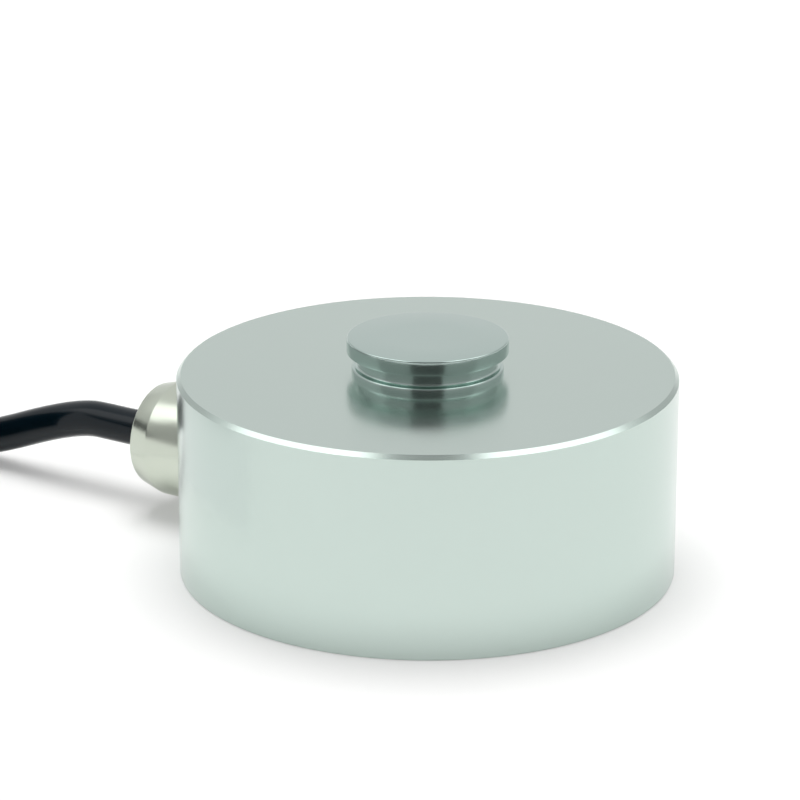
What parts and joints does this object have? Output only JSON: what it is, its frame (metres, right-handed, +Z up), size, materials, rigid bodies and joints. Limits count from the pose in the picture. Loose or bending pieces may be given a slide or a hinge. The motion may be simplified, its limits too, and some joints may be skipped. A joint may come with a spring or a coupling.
{
  "type": "button load cell",
  "caption": "Low round compression load cell: turned steel body with a load button on top, a side cable gland, a base cover and a coiled signal cable.",
  "frame": {"origin": "centre of the body's base face, on the axis of the ring of mounting holes", "axes": "+Z up along the body's axis, towards the load button; the cable gland points along -X"},
  "size_m": [0.1795, 0.1102, 0.033],
  "materials": {
    "body_steel": "fine-turned and nickel-plated, satin",
    "button_steel": "fine-turned hardened steel",
    "cover_steel": "rolled sheet, satin",
    "screw_steel": "stainless, plain",
    "gland_brass": "nickel-plated brass, polished",
    "seal_rubber": "moulded, matt",
    "ring_plastic": "natural nylon",
    "board": "glass-epoxy board, green mask",
    "resistor": "ceramic chip, glazed",
    "gauge_film": "polyimide film with a foil grid",
    "lead_copper": "enamelled copper wire",
    "solder": "tin solder",
    "cable_sheath": "black PVC sheath, satin",
    "sleeve": "black shrink sleeve, satin",
    "core_red": "PVC insulation",
    "core_black": "PVC insulation",
    "core_green": "PVC insulation",
    "core_white": "PVC insulation"
  },
  "bodies": {
    "root": {"elastic_body": "body_steel", "load_button": "button_steel", "base_cover": "cover_steel", "cover_gasket": "seal_rubber", "cover_screws": "screw_steel", "terminal_board": "board", "trim_resistor_1": "resistor", "trim_resistor_2": "resistor", "trim_resistor_3": "resistor", "trim_resistor_4": "resistor", "strain_gauge_1": "gauge_film", "strain_gauge_2": "gauge_film", "strain_gauge_3": "gauge_film", "strain_gauge_4": "gauge_film", "gauge_leads": "lead_copper", "solder_joints": "solder", "gland_body": "gland_brass", "gland_oring": "seal_rubber", "gland_seal": "seal_rubber", "gland_clamp_ring": "ring_plastic", "gland_cap": "gland_brass", "cable_inlet": "cable_sheath", "inner_core_red": "core_red", "inner_core_black": "core_black", "inner_core_green": "core_green", "inner_core_white": "core_white", "cable_lead": "cable_sheath", "cable_coil": "cable_sheath", "cable_tail": "cable_sheath", "tail_sleeve": "sleeve", "tail_core_red": "core_red", "tail_core_black": "core_black", "tail_core_green": "core_green", "tail_core_white": "core_white", "tail_tips": "solder"}
  },
  "joints": []
}
